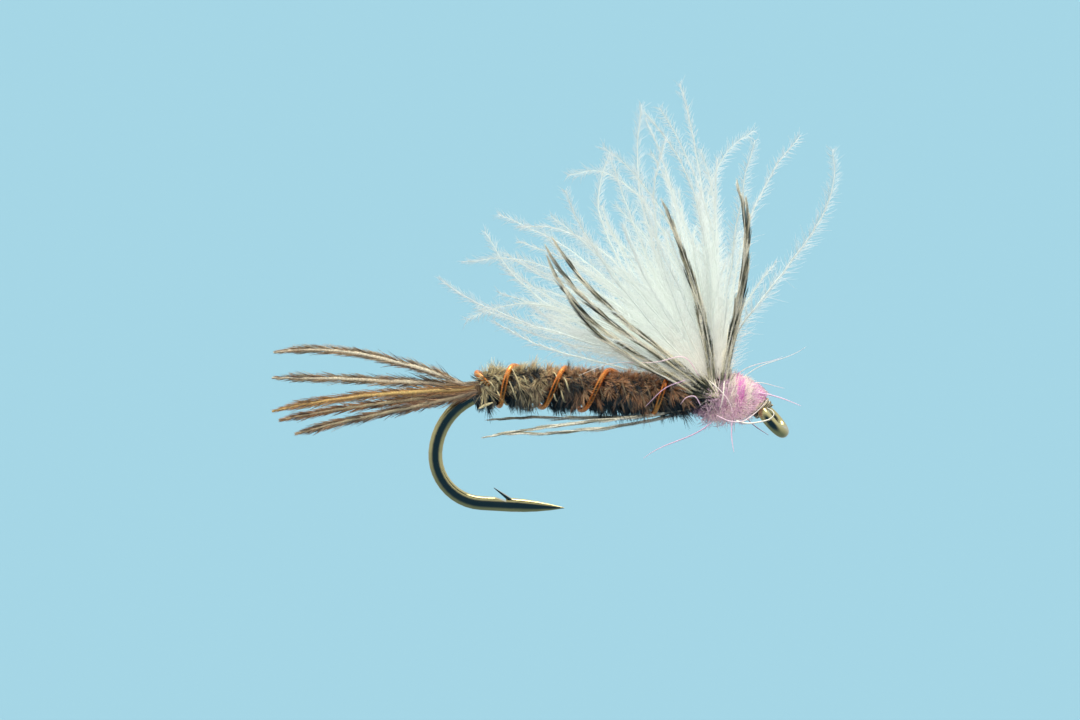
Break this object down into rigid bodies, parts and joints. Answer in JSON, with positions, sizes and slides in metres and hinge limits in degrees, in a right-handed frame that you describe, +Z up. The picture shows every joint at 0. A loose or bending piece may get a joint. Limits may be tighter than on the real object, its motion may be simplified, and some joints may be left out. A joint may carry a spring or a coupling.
{
  "type": "dry fly",
  "caption": "Small dry fly: down-eye barbed hook, barb tail, wound herl body with copper rib, white down wing, speckled legs, pink dubbed thorax.",
  "frame": {"origin": "centre of the hook's eye", "axes": "+X forward along the shank, towards the eye; +Z up, from the hook's point towards the shank; +Y the fly's left"},
  "size_m": [0.0183, 0.0044, 0.0146],
  "materials": {
    "hook_wire": "bronzed and lacquered, glossy",
    "tying_thread": "waxed multi-filament thread",
    "pheasant_barb": "feather barb, satin",
    "herl": "wound feather herl, fuzzy",
    "copper_wire": "lacquered copper, glossy",
    "cdc_down": "downy feather barb, matte and translucent",
    "speckled_hackle": "barred game feather barb, satin",
    "fur_dubbing": "loose dyed fur"
  },
  "bodies": {
    "root": {"hook": "hook_wire", "tail_barb_1": "pheasant_barb", "tail_barb_2": "pheasant_barb", "tail_barb_3": "pheasant_barb", "tail_barb_4": "pheasant_barb", "tail_barb_5": "pheasant_barb", "thread_underbody": "tying_thread", "herl_strand_1": "herl", "herl_strand_2": "herl", "herl_strand_3": "herl", "herl_strand_4": "herl", "herl_strand_5": "herl", "herl_strand_6": "herl", "rib_wire": "copper_wire", "thorax_thread_base": "tying_thread", "hackle_thread_wraps": "tying_thread", "wing_thread_wraps": "tying_thread", "head_thread_wraps": "tying_thread", "cdc_butts": "cdc_down", "cdc_barbs_rear_low": "cdc_down", "cdc_barbs_rear": "cdc_down", "cdc_barbs_rear_mid": "cdc_down", "cdc_barbs_mid": "cdc_down", "cdc_barbs_upright": "cdc_down", "cdc_barbs_front": "cdc_down", "hackle_barb_1": "speckled_hackle", "hackle_barb_2": "speckled_hackle", "hackle_barb_3": "speckled_hackle", "hackle_barb_4": "speckled_hackle", "hackle_barb_5": "speckled_hackle", "hackle_barb_6": "speckled_hackle", "hackle_barb_7": "speckled_hackle", "hackle_barb_8": "speckled_hackle", "hackle_barb_9": "speckled_hackle", "hackle_barb_10": "speckled_hackle", "leg_barb_1": "speckled_hackle", "leg_barb_2": "speckled_hackle", "leg_barb_3": "speckled_hackle", "thorax_dubbing": "fur_dubbing", "dubbing_guard_hairs": "fur_dubbing"}
  },
  "joints": []
}
